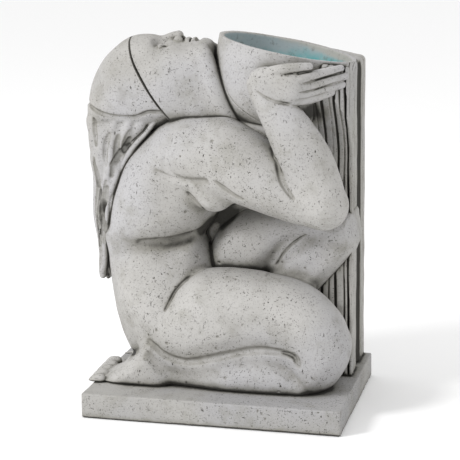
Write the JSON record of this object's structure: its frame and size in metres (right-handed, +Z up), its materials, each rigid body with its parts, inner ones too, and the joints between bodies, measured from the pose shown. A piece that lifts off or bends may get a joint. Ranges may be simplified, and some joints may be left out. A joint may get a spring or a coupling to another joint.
{
  "type": "water goddess statue",
  "caption": "Garden statue of a crouching goddess carrying a tipped jar of pouring water, cast in weathered grey stone, on a low rectangular plinth.",
  "frame": {"origin": "centre of the plinth's flat underside", "axes": "+Z up, +X along the plinth's long side towards the falling water, -Y towards the side usually seen"},
  "size_m": [0.3914, 0.292, 0.5198],
  "materials": {
    "cast_stone": "matt weathered cast stone with dark pits",
    "plinth_stone": "matt weathered cast stone, slightly darker"
  },
  "bodies": {
    "root": {"plinth": "plinth_stone", "statue": "cast_stone"}
  },
  "joints": []
}
